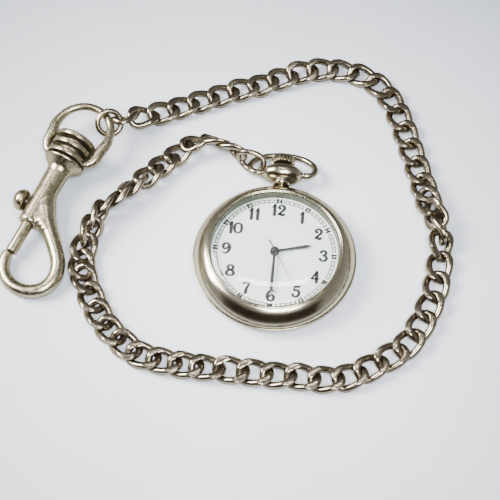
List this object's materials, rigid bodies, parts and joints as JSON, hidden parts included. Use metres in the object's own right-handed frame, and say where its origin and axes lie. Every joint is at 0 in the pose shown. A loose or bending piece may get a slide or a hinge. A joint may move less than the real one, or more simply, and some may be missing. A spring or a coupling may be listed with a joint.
{
  "type": "pocket watch",
  "caption": "Open-face pocket watch with a hinged bow and ribbed crown, on a curb chain that ends in a swivel snap hook.",
  "frame": {"origin": "centre of the case back's flat rest face", "axes": "+Z out through the crystal, +Y towards 12 o'clock and the pendant, +X towards 3 o'clock"},
  "size_m": [0.1308, 0.1139, 0.0133],
  "materials": {
    "case": "polished nickel plate, finely worn",
    "chain": "worn nickel plate",
    "hook": "satin nickel plate",
    "steel": "bright steel",
    "brass": "satin",
    "copper": "enamelled winding wire",
    "hands": "dark satin",
    "dial": "matt white with printed figures",
    "movement": "moulded",
    "holder": "moulded",
    "board": "varnished circuit board",
    "gasket": "matt",
    "glass": "polished mineral glass"
  },
  "bodies": {
    "case": {"case_back": "case", "back_gasket": "gasket", "case_middle": "case", "bezel": "case", "crystal": "glass", "crystal_gasket": "gasket", "dial": "dial", "pendant": "case", "pendant_tube": "case", "movement_ring": "holder", "main_plate": "movement", "train_bridge": "steel", "bridge_screw_1": "steel", "bridge_screw_2": "steel", "bridge_screw_3": "steel", "battery": "steel", "battery_clamp": "steel", "coil": "copper", "coil_core": "steel", "stator": "steel", "circuit_board": "board", "quartz_can": "steel", "chain": "chain", "swivel_eye": "hook", "jump_ring": "chain"},
    "bow": {"bow": "case", "bow_link": "chain"},
    "setting_lever": {"setting_lever": "steel"},
    "crown": {"crown": "case", "stem": "steel", "clutch_pinion": "steel"},
    "seconds": {"seconds_wheel": "brass", "second_hand": "hands"},
    "minutes": {"centre_wheel": "brass", "cannon_pinion": "steel", "minute_hand": "hands"},
    "hours": {"hour_wheel": "brass", "hour_hand": "hands"},
    "minute_wheel": {"minute_wheel": "brass"},
    "third_wheel": {"third_wheel": "brass"},
    "intermediate_wheel": {"intermediate_wheel": "brass"},
    "rotor": {"rotor": "steel"},
    "hook": {"hook_body": "hook", "swivel_head": "hook", "bolt_spring": "steel"},
    "trigger": {"trigger_bolt": "hook", "trigger_knob": "hook"}
  },
  "joints": [
    {"name": "bow_swing", "type": "hinge", "parent": "case", "child": "bow", "pos_m": [0, 0.0277, 0.0044], "axis": [1, 0, 0], "range_deg": [-68.7, 111.3]},
    {"name": "crown_pull", "type": "slide", "parent": "case", "child": "setting_lever", "axis": [0, 1, 0], "range_m": [0, 0.0012]},
    {"name": "crown_turn", "type": "hinge", "parent": "setting_lever", "child": "crown", "pos_m": [0, 0.03, 0.0044], "axis": [0, 1, 0], "continuous": true},
    {"name": "second_hand_turn", "type": "hinge", "parent": "case", "child": "seconds", "pos_m": [0, 0, 0.008], "axis": [0, 0, -1], "continuous": true},
    {"name": "minute_hand_turn", "type": "hinge", "parent": "case", "child": "minutes", "pos_m": [0, 0, 0.0074], "axis": [0, 0, -1], "continuous": true},
    {"name": "hour_hand_turn", "type": "hinge", "parent": "case", "child": "hours", "pos_m": [0, 0, 0.0068], "axis": [0, 0, -1], "continuous": true},
    {"name": "minute_wheel_turn", "type": "hinge", "parent": "case", "child": "minute_wheel", "pos_m": [0.0016, 0.00277, 0.0054], "axis": [0, 0, -1], "continuous": true},
    {"name": "third_wheel_turn", "type": "hinge", "parent": "case", "child": "third_wheel", "pos_m": [-0.00413, -0.00151, 0.0035], "axis": [0, 0, -1], "continuous": true},
    {"name": "intermediate_wheel_turn", "type": "hinge", "parent": "case", "child": "intermediate_wheel", "pos_m": [0.00345, -0.00289, 0.003], "axis": [0, 0, -1], "continuous": true},
    {"name": "rotor_turn", "type": "hinge", "parent": "case", "child": "rotor", "pos_m": [0.00617, -0.00388, 0.003], "axis": [0, 0, -1], "continuous": true},
    {"name": "hook_swivel", "type": "hinge", "parent": "case", "child": "hook", "pos_m": [-0.065, 0.0251, 0.0063], "axis": [0.3403, 0.9349, 0.1011], "continuous": true},
    {"name": "trigger_slide", "type": "slide", "parent": "hook", "child": "trigger", "axis": [0.3403, 0.9349, 0.1011], "range_m": [0, 0.0045], "stiffness_N_per_m": 250, "springref_m": -0.006, "deforming": ["bolt_spring"]}
  ],
  "couplings": [
    {"joint": "minute_hand_turn", "follows": "second_hand_turn", "ratio": 0.016667},
    {"joint": "hour_hand_turn", "follows": "second_hand_turn", "ratio": 0.0013889},
    {"joint": "minute_wheel_turn", "follows": "second_hand_turn", "ratio": -0.0055556},
    {"joint": "third_wheel_turn", "follows": "second_hand_turn", "ratio": -0.125},
    {"joint": "intermediate_wheel_turn", "follows": "second_hand_turn", "ratio": -6},
    {"joint": "rotor_turn", "follows": "second_hand_turn", "ratio": 30}
  ]
}
